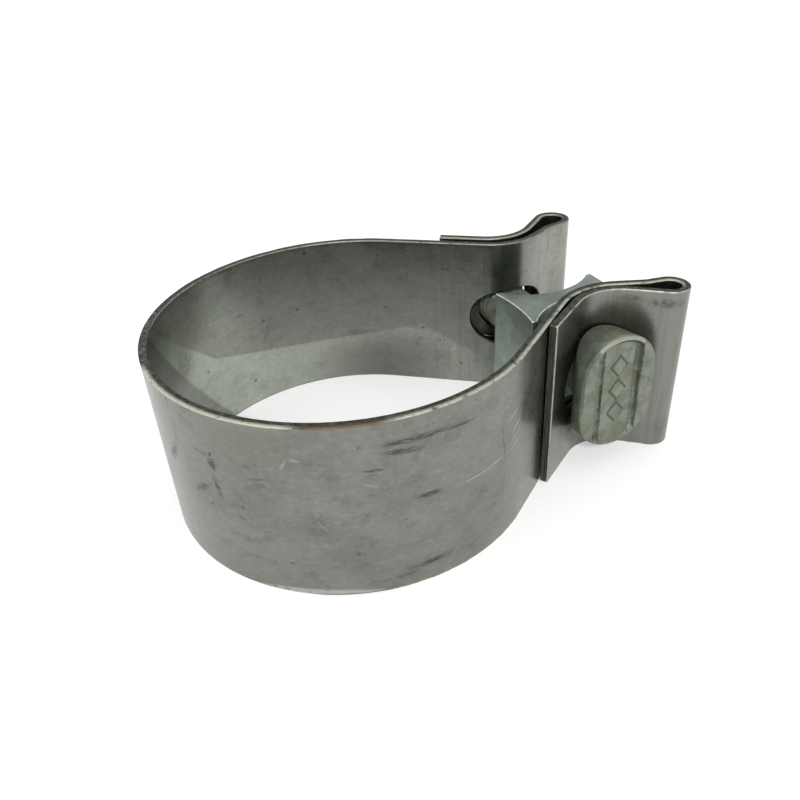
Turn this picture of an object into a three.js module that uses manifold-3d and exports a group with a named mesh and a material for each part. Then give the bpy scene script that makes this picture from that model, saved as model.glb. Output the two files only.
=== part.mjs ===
// Flat-band pipe repair clamp: a wide steel strip bent into a ring with two folded ears,
// drawn together by a half-round headed bolt, a reaction block, a half-round saddle and a nut.
// Units are millimetres. Z runs along the pipe, X points from the ring to the ears, and the
// origin is at the centre of the footprint, on the surface that the clamp rests on.
import * as THREE from 'three';
import { mergeVertices } from 'three/addons/utils/BufferGeometryUtils.js';
import Module from 'manifold-3d';

const wasm = await Module();
wasm.setup();

// Strip and ring
const BAND_WIDTH = 32;
const STRIP_THICKNESS = 1.5;
const RING_OUTER_RADIUS = 33.1;
const BACK_GAP = 0.3;

// Half-round seats that the bolt head and the saddle turn in
const SEAT_X = 41.5;
const SEAT_RADIUS = 7.6;
const SEAT_LENGTH = 22;
const SEAT_CLEARANCE = 0.3;
const SLOT_LENGTH = 15.2;
const SLOT_WIDTH = 12;
const SLOT_X = 40.5;

// Each ear is drawn as if it were the far one, with y counted from the ring's centre plane.
// seat is where its half-round part turns, belly is the bulge of the inner layer around it,
// waist is the reverse bend outside it, and hem is the fold that closes the strip on itself.
// toeIn is how far the loose end leans towards the layer beside it.
const NEAR_EAR = {
  seatY: 22.5,
  belly: { x: SEAT_X, y: 24.1, radius: 12.05 },
  waist: { x: 52.3, y: 11.3, radius: 4 },
  hem: { x: 53.7, y: 18.2, radius: 2.55 },
  toeIn: THREE.MathUtils.degToRad(3.2),
  cutEndX: 28.3,
};
const FAR_EAR = {
  seatY: 23.8,
  belly: { x: SEAT_X, y: 22.5, radius: 10.5 },
  waist: { x: 51.7, y: 11.5, radius: 4 },
  hem: { x: 53.7, y: 18.8, radius: 2.85 },
  toeIn: 0,
  cutEndX: 29.4,
};

// Bolt and nut, M10 x 1.5
const SHANK_RADIUS = 4.9;
const TAIL_Y = 33.1;
const CLEARANCE_BORE_RADIUS = 5.4;
const NUT_BORE_RADIUS = 5.2;
const NUT_ACROSS_FLATS = 16;
const NUT_HEIGHT = 8.4;
const NUT_SEAT_GAP = 0.3;

// Reaction block
const BLOCK = {
  y: -4.4,
  innerX: 31.6,
  outerX: 51,
  height: 22.4,
  waistHalf: 1.85,
  innerHalf: 6.5,
  outerHalf: 5.1,
  hollowX: 41.6,
  hollowRadius: 12.4,
  pipeRadius: 30,
};

const ARC_STEP = THREE.MathUtils.degToRad(7);
const ROUND_SEGMENTS = 40;
const CUT_REACH = 60;
const MID_HEIGHT = BAND_WIDTH / 2;
const CLOCKWISE = -1;
const ANTICLOCKWISE = 1;

const STEEL = { color: 0x80847c, roughness: 0.5, metalness: 0.9 };
const ZINC = { color: 0x8f968c, roughness: 0.45, metalness: 0.85 };

const heading = (angle) => new THREE.Vector2(Math.cos(angle), Math.sin(angle));

function solidOf(geometry) {
  const bare = geometry.clone();
  bare.deleteAttribute('normal');
  bare.deleteAttribute('uv');
  const merged = mergeVertices(bare, 1e-5);
  return new wasm.Manifold(new wasm.Mesh({
    numProp: 3,
    vertProperties: new Float32Array(merged.attributes.position.array),
    triVerts: new Uint32Array(merged.index.array),
  }));
}

function geometryOf(solid) {
  const mesh = solid.getMesh();
  const geometry = new THREE.BufferGeometry();
  geometry.setAttribute('position', new THREE.BufferAttribute(mesh.vertProperties, 3));
  geometry.setIndex(new THREE.BufferAttribute(mesh.triVerts, 1));
  geometry.computeVertexNormals();
  return geometry;
}

function meshOf(name, solid, finish) {
  const mesh = new THREE.Mesh(geometryOf(solid), new THREE.MeshStandardMaterial(finish));
  mesh.name = name;
  return mesh;
}

// A prism of an XY outline, standing on z = bottom.
function prism(points, bottom, height) {
  const geometry = new THREE.ExtrudeGeometry(new THREE.Shape(points), {
    depth: height,
    bevelEnabled: false,
  });
  return solidOf(geometry.translate(0, 0, bottom));
}

// A cylinder along Y between two y values, at mid-height.
function roundBar(x, fromY, toY, radius) {
  const geometry = new THREE.CylinderGeometry(radius, radius, toY - fromY, ROUND_SEGMENTS);
  return solidOf(geometry.translate(x, (fromY + toY) / 2, MID_HEIGHT));
}

// A round-ended bar along Y: its outline in XZ is a stadium, long in Z or in X.
function stadiumBar(x, fromY, toY, length, width, longInZ) {
  const radius = width / 2;
  const half = length / 2 - radius;
  const shape = new THREE.Shape();
  shape.absarc(half, 0, radius, -Math.PI / 2, Math.PI / 2);
  shape.absarc(-half, 0, radius, Math.PI / 2, (3 * Math.PI) / 2);
  const geometry = new THREE.ExtrudeGeometry(shape, {
    depth: toY - fromY,
    bevelEnabled: false,
    curveSegments: ROUND_SEGMENTS / 2,
  });
  if (longInZ) geometry.rotateZ(Math.PI / 2);
  return solidOf(geometry.rotateX(Math.PI / 2).translate(x, toY, MID_HEIGHT));
}

// The direction in which the straight stretch between two bends runs.
function tangentHeading(from, to) {
  const span = new THREE.Vector2(to.x - from.x, to.y - from.y);
  const reach = from.radius + to.radius;
  const straight = Math.sqrt(span.lengthSq() - reach * reach);
  return Math.atan2(span.y, span.x) + from.turn * Math.atan2(reach, straight);
}

// The strip's centre line as points and headings, from the back of the ring to the cut end.
function centreLine(ear) {
  const centreRadius = RING_OUTER_RADIUS - STRIP_THICKNESS / 2;
  const pocket = SEAT_RADIUS + SEAT_CLEARANCE + STRIP_THICKNESS / 2;
  const bends = [
    { x: 0, y: 0, radius: centreRadius, turn: CLOCKWISE },
    { ...ear.belly, turn: ANTICLOCKWISE },
    { ...ear.waist, turn: CLOCKWISE },
    { ...ear.hem, turn: ANTICLOCKWISE },
    { x: SEAT_X, y: ear.seatY, radius: pocket, turn: CLOCKWISE },
  ];
  const headings = bends.slice(1).map((bend, i) => tangentHeading(bends[i], bend));
  headings.push(headings[0] + Math.PI + ear.toeIn);
  let entry = Math.PI / 2 - BACK_GAP / 2 / centreRadius;
  const line = [];
  bends.forEach((bend, i) => {
    let exit = headings[i];
    while ((exit - entry) * bend.turn < 0) exit += bend.turn * 2 * Math.PI;
    const steps = Math.max(2, Math.ceil(Math.abs(exit - entry) / ARC_STEP));
    for (let k = 0; k <= steps; k += 1) {
      const angle = entry + ((exit - entry) * k) / steps;
      const outward = heading(angle - (bend.turn * Math.PI) / 2);
      line.push({ angle, point: outward.multiplyScalar(bend.radius).add(bend) });
    }
    entry = exit;
  });
  const last = line[line.length - 1];
  const run = (ear.cutEndX - last.point.x) / Math.cos(last.angle);
  const end = heading(last.angle).multiplyScalar(run).add(last.point);
  line.push({ angle: last.angle, point: end });
  return line;
}

// Half of the band: the strip's outline pulled along Z, with the bolt slot through the ear.
function bandHalf(ear, side) {
  const line = centreLine(ear);
  const faceOf = (offset) => line.map(({ angle, point }) => {
    const left = heading(angle + Math.PI / 2);
    return left.multiplyScalar(offset).add(point);
  });
  const outer = faceOf(STRIP_THICKNESS / 2);
  const inner = faceOf(-STRIP_THICKNESS / 2);
  const outline = [...outer, ...inner.reverse()];
  outline.forEach((point) => point.setY(point.y * side));
  const strip = prism(outline, 0, BAND_WIDTH);
  const slotEnd = ear.seatY * side;
  const slot = stadiumBar(
    SLOT_X, Math.min(0, slotEnd), Math.max(0, slotEnd), SLOT_LENGTH, SLOT_WIDTH, false);
  return strip.subtract(slot);
}

// A half-round bar with stadium ends: flat face at seatY, round side towards the gap.
function halfRound(seatY) {
  const side = Math.sign(seatY);
  const arc = [];
  for (let k = 0; k <= ROUND_SEGMENTS / 2; k += 1) {
    const angle = -Math.PI * (k / (ROUND_SEGMENTS / 2));
    const spoke = heading(angle).multiplyScalar(SEAT_RADIUS);
    arc.push(new THREE.Vector2(SEAT_X + spoke.x, seatY + spoke.y * side));
  }
  const round = prism(arc, MID_HEIGHT - SEAT_LENGTH / 2, SEAT_LENGTH);
  const fromY = Math.min(seatY, seatY - side * SEAT_RADIUS);
  const ends = stadiumBar(
    SEAT_X, fromY, fromY + SEAT_RADIUS, SEAT_LENGTH, 2 * SEAT_RADIUS, true);
  return round.intersect(ends);
}

function halfRoundBolt() {
  const shank = roundBar(SEAT_X, -NEAR_EAR.seatY + SEAT_RADIUS / 2, TAIL_Y, SHANK_RADIUS);
  return halfRound(-NEAR_EAR.seatY).add(shank);
}

function halfRoundSaddle() {
  const bore = roundBar(SEAT_X, 0, CUT_REACH, CLEARANCE_BORE_RADIUS);
  return halfRound(FAR_EAR.seatY).subtract(bore);
}

// Its flats face up, down and to the sides of a hexagon whose axis is the bolt's.
function hexNut() {
  const seatY = FAR_EAR.seatY + NUT_SEAT_GAP;
  const cornerRadius = NUT_ACROSS_FLATS / Math.sqrt(3);
  const hexagon = new THREE.CylinderGeometry(cornerRadius, cornerRadius, NUT_HEIGHT, 6);
  hexagon.rotateY(Math.PI / 2).translate(SEAT_X, seatY + NUT_HEIGHT / 2, MID_HEIGHT);
  const bore = roundBar(SEAT_X, 0, CUT_REACH, NUT_BORE_RADIUS);
  return solidOf(hexagon).subtract(bore);
}

// An arc of points about a centre, between two heights measured from the block's own axis.
function arcBetween(centreX, centreV, radius, fromX, toX, sign) {
  const steps = 10;
  const points = [];
  for (let k = 0; k <= steps; k += 1) {
    const x = fromX + ((toX - fromX) * k) / steps;
    const rise = Math.sqrt(radius * radius - (x - centreX) ** 2);
    points.push(new THREE.Vector2(x, centreV + sign * rise));
  }
  return points;
}

// The spacer that the ears close on: hollow on both sides and curved to the pipe inside.
function reactionBlock() {
  const { hollowRadius, hollowX, waistHalf } = BLOCK;
  const centreV = waistHalf + hollowRadius;
  const reachTo = (half) => Math.sqrt(hollowRadius ** 2 - (centreV - half) ** 2);
  const upper = arcBetween(
    hollowX, centreV, hollowRadius,
    hollowX - reachTo(BLOCK.innerHalf), hollowX + reachTo(BLOCK.outerHalf), -1);
  const pipeFace = [];
  const bow = Math.asin(BLOCK.innerHalf / BLOCK.pipeRadius);
  const steps = 6;
  for (let k = 0; k <= steps; k += 1) {
    const angle = -bow + (2 * bow * k) / steps;
    const spoke = heading(angle).multiplyScalar(BLOCK.pipeRadius);
    pipeFace.push(spoke.add(new THREE.Vector2(BLOCK.innerX - BLOCK.pipeRadius, 0)));
  }
  const lower = upper.map((point) => new THREE.Vector2(point.x, -point.y)).reverse();
  const tips = [1, -1].map((side) => new THREE.Vector2(BLOCK.outerX, side * BLOCK.outerHalf));
  const outline = [...pipeFace, ...upper, ...tips, ...lower];
  outline.forEach((point) => point.setY(point.y + BLOCK.y));
  const block = prism(outline, MID_HEIGHT - BLOCK.height / 2, BLOCK.height);
  return block.subtract(roundBar(SEAT_X, -CUT_REACH, CUT_REACH, CLEARANCE_BORE_RADIUS));
}

const ringFrame = new THREE.Group();
ringFrame.add(
  meshOf('band_far_half', bandHalf(FAR_EAR, 1), STEEL),
  meshOf('band_near_half', bandHalf(NEAR_EAR, -1), STEEL),
  meshOf('reaction_block', reactionBlock(), ZINC),
  meshOf('half_round_bolt', halfRoundBolt(), ZINC),
  meshOf('half_round_saddle', halfRoundSaddle(), ZINC),
  meshOf('hex_nut', hexNut(), ZINC),
);
const tipX = FAR_EAR.hem.x + FAR_EAR.hem.radius + STRIP_THICKNESS / 2;
ringFrame.position.x = (RING_OUTER_RADIUS - tipX) / 2;

const clamp = new THREE.Group();
clamp.add(ringFrame);
export default clamp;
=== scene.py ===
"""Looks of the flat-band pipe repair clamp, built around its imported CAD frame.

Shapes are worked out in millimetres in the row frame, and become metres where a mesh is made.
The strip is one spring-steel sweep in place of the two rigid CAD halves. The bolt, saddle and
nut are lofts of rings about the bolt's axis, with a real M10 thread, and the reaction block is
a cast prism with a bore.
"""
import math
from collections import namedtuple

import bmesh
import bpy
import numpy as np
from mathutils import Matrix, Vector, noise


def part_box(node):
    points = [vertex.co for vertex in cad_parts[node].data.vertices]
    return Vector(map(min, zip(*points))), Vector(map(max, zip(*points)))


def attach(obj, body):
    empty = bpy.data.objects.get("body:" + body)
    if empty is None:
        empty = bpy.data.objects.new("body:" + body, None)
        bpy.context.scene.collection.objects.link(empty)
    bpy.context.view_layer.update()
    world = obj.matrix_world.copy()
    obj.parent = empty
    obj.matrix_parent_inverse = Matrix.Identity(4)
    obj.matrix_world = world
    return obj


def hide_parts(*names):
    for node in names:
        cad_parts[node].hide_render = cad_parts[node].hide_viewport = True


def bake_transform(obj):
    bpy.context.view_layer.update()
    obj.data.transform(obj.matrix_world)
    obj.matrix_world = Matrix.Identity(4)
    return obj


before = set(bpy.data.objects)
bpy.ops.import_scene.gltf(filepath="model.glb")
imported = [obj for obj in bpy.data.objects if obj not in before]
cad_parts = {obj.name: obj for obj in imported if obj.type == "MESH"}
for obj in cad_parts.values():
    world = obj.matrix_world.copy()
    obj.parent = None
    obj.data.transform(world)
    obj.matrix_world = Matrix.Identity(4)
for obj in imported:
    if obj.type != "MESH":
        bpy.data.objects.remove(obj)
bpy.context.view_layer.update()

MM = 0.001


def box_mm(node):
    """Lowest and highest corner of a CAD node, in millimetres."""
    low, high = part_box(node)
    return np.array(low) / MM, np.array(high) / MM


# Strip, as the CAD has it
STRIP_THICKNESS = 1.5
RING_OUTER_RADIUS = 33.1
SLOT_LENGTH = 15.2
SLOT_WIDTH = 12.0
SLOT_X = 40.5
SEAT_RADIUS = 7.6
SEAT_CLEARANCE = 0.3

FAR_LOW, FAR_HIGH = box_mm("band_far_half")
BOLT_LOW, BOLT_HIGH = box_mm("half_round_bolt")
_, SADDLE_HIGH = box_mm("half_round_saddle")
NUT_LOW, NUT_HIGH = box_mm("hex_nut")
BLOCK_LOW, BLOCK_HIGH = box_mm("reaction_block")

RING_X = FAR_LOW[0] + RING_OUTER_RADIUS
BAND_WIDTH = FAR_HIGH[2]
MID_HEIGHT = BAND_WIDTH / 2
AXIS_X = (BOLT_LOW[0] + BOLT_HIGH[0]) / 2
SEAT_X = AXIS_X - RING_X
NEAR_SEAT_Y = -BOLT_LOW[1]
FAR_SEAT_Y = SADDLE_HIGH[1]
TAIL_Y = BOLT_HIGH[1]

# Camera, from the ring's centre: viewing angle, roll and framing
VIEW_AZIMUTH = math.radians(-21.5)
VIEW_ELEVATION = math.radians(33.64)
VIEW_ROLL = math.radians(-3.684)
VIEW_DISTANCE = 136.32
VIEW_RIGHT = 9.19
VIEW_UP = -1.364
LENS = 34.17
SENSOR = 36.0

Bend = namedtuple("Bend", "x y radius turn")
Ear = namedtuple("Ear", "seat_y belly waist hem toe_in cut_end_x")
CLOCKWISE, ANTICLOCKWISE = -1, 1

NEAR_EAR = Ear(
    NEAR_SEAT_Y,
    Bend(SEAT_X, 24.1, 12.05, ANTICLOCKWISE),
    Bend(52.3, 11.3, 4.0, CLOCKWISE),
    Bend(53.7, 18.2, 2.55, ANTICLOCKWISE),
    math.radians(3.2),
    28.3,
)
FAR_EAR = Ear(
    FAR_SEAT_Y,
    Bend(SEAT_X, 22.5, 10.5, ANTICLOCKWISE),
    Bend(51.7, 11.5, 4.0, CLOCKWISE),
    Bend(53.7, 18.8, 2.85, ANTICLOCKWISE),
    0.0,
    29.4,
)


# ---------------------------------------------------------------- camera and stage

def make_camera():
    forward = Vector((
        -math.sin(VIEW_AZIMUTH) * math.cos(VIEW_ELEVATION),
        math.cos(VIEW_AZIMUTH) * math.cos(VIEW_ELEVATION),
        -math.sin(VIEW_ELEVATION),
    ))
    level = forward.cross(Vector((0, 0, 1))).normalized()
    steep = level.cross(forward)
    right = math.cos(VIEW_ROLL) * level + math.sin(VIEW_ROLL) * steep
    up = -math.sin(VIEW_ROLL) * level + math.cos(VIEW_ROLL) * steep
    centre = Vector((RING_X, 0, MID_HEIGHT))
    place = centre - VIEW_DISTANCE * forward + VIEW_RIGHT * right + VIEW_UP * up
    data = bpy.data.cameras.new("camera")
    data.lens = LENS
    data.sensor_width = SENSOR
    data.clip_start = 0.01
    camera = bpy.data.objects.new("camera", data)
    bpy.context.scene.collection.objects.link(camera)
    turn = Matrix((right, up, -forward)).transposed().to_4x4()
    camera.matrix_world = Matrix.Translation(place * MM) @ turn
    bpy.context.scene.camera = camera


def area_light(name, place, target, size, power, colour=(1, 1, 1)):
    data = bpy.data.lights.new(name, "AREA")
    data.shape = "RECTANGLE"
    data.size, data.size_y = (s * MM for s in size)
    data.energy = power
    data.color = colour
    lamp = bpy.data.objects.new(name, data)
    bpy.context.scene.collection.objects.link(lamp)
    lamp.location = Vector(place) * MM
    aim = (Vector(target) - Vector(place)).normalized()
    lamp.rotation_euler = aim.to_track_quat("-Z", "Y").to_euler()


def make_lights():
    world = bpy.data.worlds.new("world")
    bpy.context.scene.world = world
    world.use_nodes = True
    background = world.node_tree.nodes["Background"]
    background.inputs["Color"].default_value = (1, 1, 1, 1)
    background.inputs["Strength"].default_value = 0.8
    centre = (RING_X, 0, MID_HEIGHT)
    area_light("key", (-200, -500, 440), centre, (60, 45), 1.8)


def make_floor():
    bpy.ops.mesh.primitive_plane_add(size=3.0)
    floor = bpy.context.object
    floor.name = "floor"
    tree = Tree("floor")
    tree.shader("Base Color", (0.8, 0.8, 0.8, 1))
    tree.shader("Roughness", 0.8)
    tree.shader("Specular IOR Level", 0.1)
    tree.shader("Emission Color", (1, 1, 1, 1))
    tree.shader("Emission Strength", 0.35)
    floor.data.materials.append(tree.material)


# ---------------------------------------------------------------- material nodes

class Tree:
    """A material's node tree, with one short call for each kind of node."""

    def __init__(self, name):
        self.material = bpy.data.materials.new(name)
        self.material.use_nodes = True
        self.tree = self.material.node_tree
        self.bsdf = self.tree.nodes["Principled BSDF"]

    def add(self, kind, **settings):
        node = self.tree.nodes.new(kind)
        for key, value in settings.items():
            setattr(node, key, value)
        return node

    def put(self, socket, value):
        if isinstance(value, bpy.types.NodeSocket):
            self.tree.links.new(value, socket)
        else:
            socket.default_value = value

    def shader(self, name, value):
        self.put(self.bsdf.inputs[name], value)

    def math(self, operation, a, b=0.0, clamp=False):
        node = self.add("ShaderNodeMath", operation=operation, use_clamp=clamp)
        self.put(node.inputs[0], a)
        self.put(node.inputs[1], b)
        return node.outputs[0]

    def step(self, value, low, high):
        """0 below low, 1 above high, smooth between; low may be above high."""
        node = self.add("ShaderNodeMapRange", interpolation_type="SMOOTHSTEP")
        self.put(node.inputs["Value"], value)
        self.put(node.inputs["From Min"], low)
        self.put(node.inputs["From Max"], high)
        return node.outputs[0]

    def blend(self, factor, a, b, mode="MIX"):
        node = self.add("ShaderNodeMix", data_type="RGBA", blend_type=mode)
        self.put(node.inputs["Factor"], factor)
        self.put(node.inputs["A"], a)
        self.put(node.inputs["B"], b)
        return node.outputs["Result"]

    def place(self, vector, scale=(1, 1, 1), turn=0.0, shift=(0, 0, 0)):
        """The coordinates moved by shift, then turned about Z, then scaled."""
        moved = self.add("ShaderNodeVectorMath", operation="ADD")
        self.put(moved.inputs[0], vector)
        self.put(moved.inputs[1], shift)
        turned = self.add("ShaderNodeVectorRotate", rotation_type="Z_AXIS")
        self.put(turned.inputs["Vector"], moved.outputs[0])
        self.put(turned.inputs["Angle"], -turn)
        scaled = self.add("ShaderNodeVectorMath", operation="MULTIPLY")
        self.put(scaled.inputs[0], turned.outputs[0])
        self.put(scaled.inputs[1], scale)
        return scaled.outputs[0]

    def noise(self, vector, scale=1.0, detail=3.0, roughness=0.5, distortion=0.0):
        node = self.add("ShaderNodeTexNoise")
        self.put(node.inputs["Vector"], vector)
        self.put(node.inputs["Scale"], scale)
        self.put(node.inputs["Detail"], detail)
        self.put(node.inputs["Roughness"], roughness)
        self.put(node.inputs["Distortion"], distortion)
        return node.outputs["Fac"]

    def specks(self, vector, scale, radius, share):
        """Round dots in some of the cells of a pattern with that many cells to the millimetre."""
        node = self.add("ShaderNodeTexVoronoi")
        self.put(node.inputs["Vector"], vector)
        self.put(node.inputs["Scale"], scale)
        dot = self.step(node.outputs["Distance"], radius, radius * 0.4)
        cell = self.add("ShaderNodeSeparateColor")
        self.put(cell.inputs[0], node.outputs["Color"])
        chosen = self.math("LESS_THAN", cell.outputs[0], share)
        return self.math("MULTIPLY", dot, chosen)

    def oval(self, vector, centre, sizes, angle=0.0):
        """1 in the middle of an oval blob, fading to 0 at its half-sizes."""
        node = self.add("ShaderNodeMapping", vector_type="TEXTURE")
        self.put(node.inputs["Vector"], vector)
        self.put(node.inputs["Location"], centre)
        self.put(node.inputs["Rotation"], (0, 0, math.radians(angle)))
        self.put(node.inputs["Scale"], sizes)
        away = self.add("ShaderNodeVectorMath", operation="LENGTH")
        self.put(away.inputs[0], node.outputs[0])
        return self.step(away.outputs["Value"], 1.0, 0.15)

    def spot(self, vector, mark):
        sizes = (mark.length, mark.width, 10 * STRIP_THICKNESS)
        blob = self.oval(vector, (mark.s, mark.z, 0), sizes, mark.angle)
        return self.math("MULTIPLY", blob, mark.strength)

    def spots(self, vector, marks):
        """The strongest of several spots, at each place."""
        total = self.spot(vector, marks[0])
        for mark in marks[1:]:
            total = self.math("MAXIMUM", total, self.spot(vector, mark))
        return total

    def product(self, *factors):
        total = factors[0]
        for factor in factors[1:]:
            total = self.math("MULTIPLY", total, factor)
        return total

    def slope(self, value, at, height, rise):
        """The height of a straight line over value, given one point and its rise."""
        return self.math("ADD", self.math("MULTIPLY", value, rise), height - at * rise)

    def window(self, value, low, high, soft):
        """1 between low and high, fading to 0 over a soft distance outside them."""
        rise = self.step(value, low - soft, low)
        fall = self.step(value, high + soft, high)
        return self.math("MULTIPLY", rise, fall)

    def bump(self, height, distance, strength=1.0):
        node = self.add("ShaderNodeBump")
        self.put(node.inputs["Height"], height)
        node.inputs["Distance"].default_value = distance * MM
        node.inputs["Strength"].default_value = strength
        return node.outputs["Normal"]

    def object_mm(self):
        """Object coordinates in millimetres."""
        coordinates = self.add("ShaderNodeTexCoord").outputs["Object"]
        return self.place(coordinates, (1 / MM, 1 / MM, 1 / MM))


Mark = namedtuple("Mark", "s z length width angle strength")


# ---------------------------------------------------------------- mesh helpers

def wobble(point, size, seed):
    """Smooth noise from -1 to 1 at a point in millimetres, with features of about that size."""
    return noise.noise(Vector(point) / size + Vector((seed * 17.3, seed * 5.1, seed * 9.7)))


def mesh_object(name, points, faces, sharp_angle=35.0):
    """A smooth-shaded closed mesh from points in millimetres, creased where it turns sharply."""
    data = bpy.data.meshes.new(name)
    data.from_pydata((np.asarray(points) * MM).tolist(), [], faces)
    work = bmesh.new()
    work.from_mesh(data)
    bmesh.ops.remove_doubles(work, verts=work.verts, dist=1e-7)
    bmesh.ops.recalc_face_normals(work, faces=work.faces)
    crease(work, sharp_angle)
    work.to_mesh(data)
    work.free()
    piece = bpy.data.objects.new(name, data)
    bpy.context.scene.collection.objects.link(piece)
    return piece


def crease(work, sharp_angle):
    limit = math.radians(sharp_angle)
    for face in work.faces:
        face.smooth = True
    for edge in work.edges:
        edge.smooth = len(edge.link_faces) == 2 and edge.calc_face_angle() < limit


def loft(name, rings, closed=False, start_pole=None, end_pole=None):
    """Joins rings of equally many points. Poles close the ends, or closed joins last to first."""
    count = len(rings[0])
    points = [point for ring in rings for point in ring]
    faces = []
    spans = len(rings) if closed else len(rings) - 1
    for i in range(spans):
        here, there = i * count, ((i + 1) % len(rings)) * count
        for j in range(count):
            k = (j + 1) % count
            faces.append((here + j, here + k, there + k, there + j))
    for pole, first in ((start_pole, 0), (end_pole, (len(rings) - 1) * count)):
        if pole is not None:
            points.append(pole)
            tip = len(points) - 1
            faces += [(first + j, first + (j + 1) % count, tip) for j in range(count)]
    return mesh_object(name, points, faces)


# ---------------------------------------------------------------- strip

def tangent_heading(start, end):
    """The direction of the straight stretch that joins two bends of opposite turn."""
    span_x, span_y = end.x - start.x, end.y - start.y
    reach = start.radius + end.radius
    straight = math.sqrt(span_x ** 2 + span_y ** 2 - reach ** 2)
    return math.atan2(span_y, span_x) + start.turn * math.atan2(reach, straight)


def half_line(ear):
    """Points and headings down the strip's middle, from the back of the ring to its cut end."""
    ring = Bend(0, 0, RING_OUTER_RADIUS - STRIP_THICKNESS / 2, CLOCKWISE)
    pocket_radius = SEAT_RADIUS + SEAT_CLEARANCE + STRIP_THICKNESS / 2
    pocket = Bend(SEAT_X, ear.seat_y, pocket_radius, CLOCKWISE)
    bends = [ring, ear.belly, ear.waist, ear.hem, pocket]
    headings = [tangent_heading(a, b) for a, b in zip(bends, bends[1:])]
    headings.append(headings[0] + math.pi + ear.toe_in)
    entry = math.pi / 2
    rows = []
    for bend, leave in zip(bends, headings):
        while (leave - entry) * bend.turn < 0:
            leave += bend.turn * 2 * math.pi
        for angle in np.linspace(entry, leave, 240):
            spoke = angle - bend.turn * math.pi / 2
            rows.append((bend.x + bend.radius * math.cos(spoke),
                         bend.y + bend.radius * math.sin(spoke), angle))
        entry = leave
    run = (ear.cut_end_x - rows[-1][0]) / math.cos(entry)
    rows.append((ear.cut_end_x, rows[-1][1] + run * math.sin(entry), entry))
    return np.array(rows)


class Strip:
    """The whole strip's middle line by length s: zero at the back, positive to the far ear."""

    def __init__(self):
        far, near = half_line(FAR_EAR), half_line(NEAR_EAR)
        self.far_tip, self.near_tip = (self._tip(rows) for rows in (far, near))
        near[:, 1] *= -1
        x = np.concatenate([near[:0:-1, 0], far[:, 0]])
        y = np.concatenate([near[:0:-1, 1], far[:, 1]])
        normal_x = np.concatenate([-np.sin(near[:0:-1, 2]), -np.sin(far[:, 2])])
        normal_y = np.concatenate([-np.cos(near[:0:-1, 2]), np.cos(far[:, 2])])
        steps = np.hypot(np.diff(x), np.diff(y))
        s = np.concatenate([[0], np.cumsum(steps)])
        self.s = s - s[len(near) - 1]
        self.table = np.column_stack([x, y, normal_x, normal_y])

    @staticmethod
    def _tip(rows):
        """The length at which a half's line reaches furthest out, in the middle of its hem."""
        lengths = np.concatenate([[0], np.cumsum(np.hypot(*np.diff(rows[:, :2], axis=0).T))])
        return lengths[np.argmax(rows[:, 0])]

    def at(self, s):
        """x, y and outward normal at length s, in the ring's own frame."""
        return np.array([np.interp(s, self.s, column) for column in self.table.T])

    def lengths_at(self, x_values, first, last):
        """Where the line between two lengths passes each x. The line runs one way in x there."""
        inside = (self.s >= min(first, last)) & (self.s <= max(first, last))
        s, x = self.s[inside], self.table[inside, 0]
        order = np.argsort(x)
        return np.interp(x_values, x[order], s[order])


def slot_half_height(x):
    """Half the bolt slot's height at a place along the ear, or 0 outside it."""
    radius = SLOT_WIDTH / 2
    past = abs(x - SLOT_X) - (SLOT_LENGTH / 2 - radius)
    if past <= 0:
        return radius
    return math.sqrt(max(radius ** 2 - past ** 2, 0)) if past < radius else 0.0


RIM = 0.15
EDGE_PROFILE = [
    (0.75, 0.36), (0.75, 0.15), (0.71, 0.05), (0.62, 0.01), (0.45, 0.05), (0.0, 0.07),
    (-0.45, 0.05), (-0.63, 0.02), (-0.72, 0.1), (-0.75, 0.3),
]
OUTER_LIP_END = 4
INNER_LIP_START = 7
FACE_ROWS = 10
END_PINCH = {0: 0.25, 1: 0.1}
DRAWN_SHARE = 0.95


def half_section(slot, worn, pinch):
    """(offset, height, rim) from the slot's rim, over the strip's edge, to the inside rim.

    rim is how far the point belongs to the sheared edge, to its outer lip and to its inner lip.
    The first number is 2 instead of 1 on the strip's two ends. The section is drawn a touch
    thin, to stay inside the many-sided CAD strip.
    """
    half = STRIP_THICKNESS / 2
    top = MID_HEIGHT - pinch
    rim = RIM if slot > 0 else 0.0
    heights = [slot + RIM, slot + 2.5 * RIM]
    heights += list(np.linspace(slot + 1.2, top - 0.9, FACE_ROWS))
    face = (0, 0, 0)
    section = [(half - rim, slot, face)] + [(half, z, face) for z in heights]
    last = len(EDGE_PROFILE) - 1
    for index, (offset, drop) in enumerate(EDGE_PROFILE):
        outer_lip = 1 if 1 <= index <= OUTER_LIP_END else 0
        inner_lip = 1 if INNER_LIP_START <= index < last else 0
        cut = 1 if 1 <= index < last else 0
        section.append((offset, top - drop - outer_lip * worn, (cut, outer_lip, inner_lip)))
    section += [(-half, z, face) for z in reversed(heights)] + [(-half + rim, slot, face)]
    shrink = DRAWN_SHARE - pinch / half
    return [(offset * shrink, z, rim) for offset, z, rim in section]


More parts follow.
